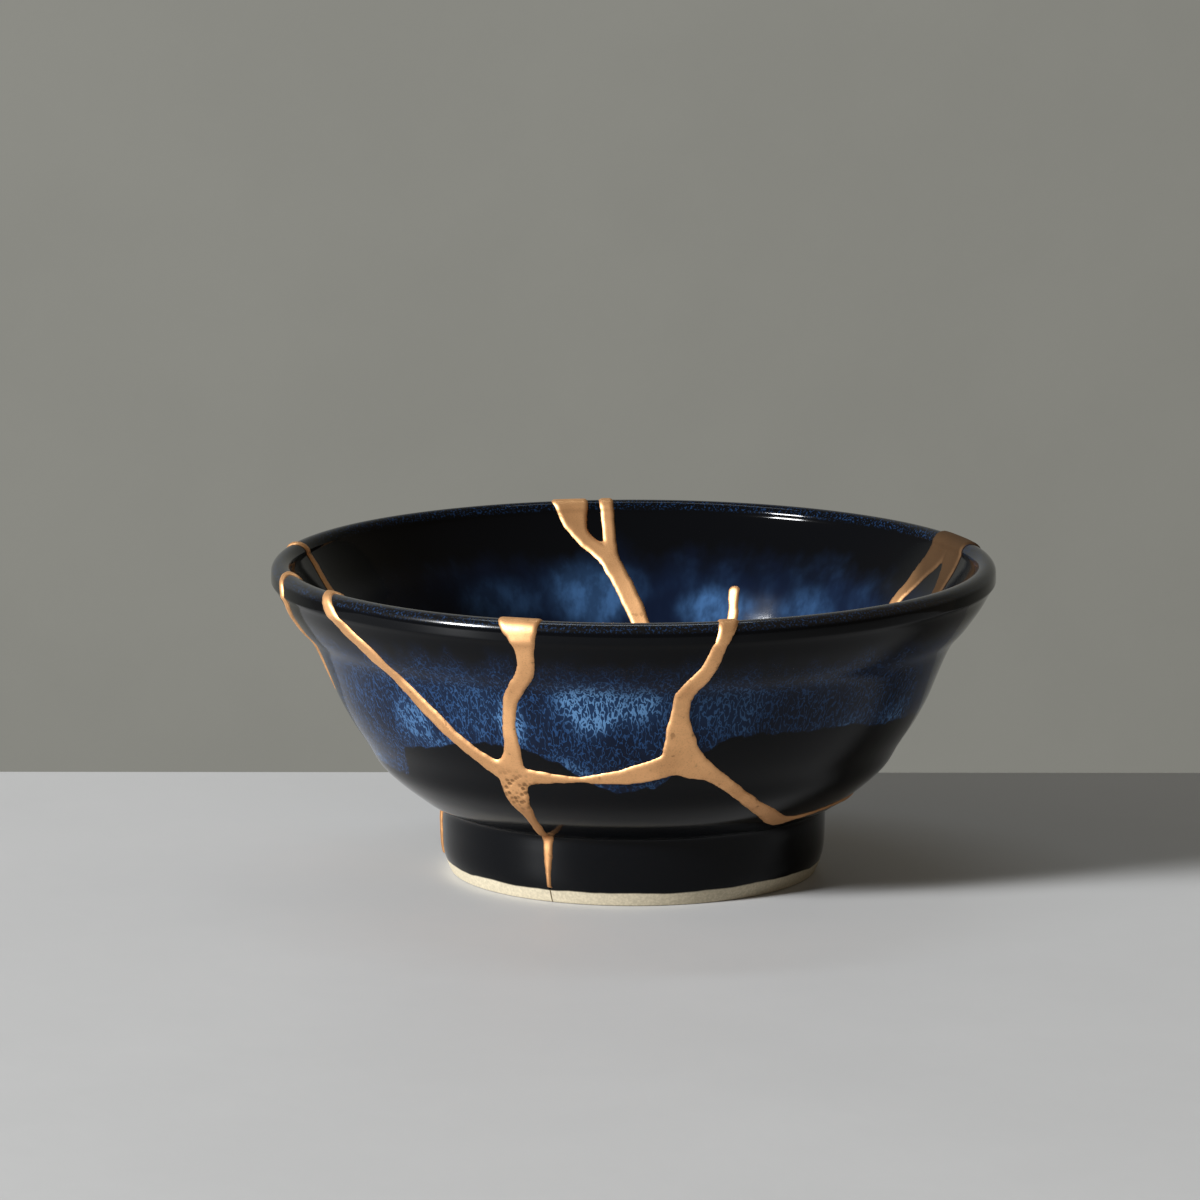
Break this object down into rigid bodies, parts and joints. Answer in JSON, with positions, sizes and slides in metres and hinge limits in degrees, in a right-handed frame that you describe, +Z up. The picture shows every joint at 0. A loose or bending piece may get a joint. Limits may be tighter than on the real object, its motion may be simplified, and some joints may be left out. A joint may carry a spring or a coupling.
{
  "type": "mended tea bowl",
  "caption": "Round dark-glazed bowl on a foot ring, its broken fragments joined by raised gold lacquer seams.",
  "frame": {"origin": "centre of the foot ring, on the surface that the bowl stands on", "axes": "+Z up along the bowl's axis; the view of the picture looks along +Y, so the wide gold seams are on the -Y side"},
  "size_m": [0.1464, 0.1466, 0.064],
  "materials": {
    "glazed_clay": "glossy near-black glaze with a mottled blue band, bare cream clay at the foot",
    "gold": "satin gold powder over lacquer, slightly uneven"
  },
  "bodies": {
    "root": {"sherd_front_left": "glazed_clay", "sherd_front_wedge": "glazed_clay", "sherd_front_middle": "glazed_clay", "sherd_right": "glazed_clay", "sherd_front_foot": "glazed_clay", "sherd_right_splinter": "glazed_clay", "sherd_back_right": "glazed_clay", "sherd_back_splinter": "glazed_clay", "sherd_back_left": "glazed_clay", "sherd_left_wedge": "glazed_clay", "gold_seams": "gold"}
  },
  "joints": []
}
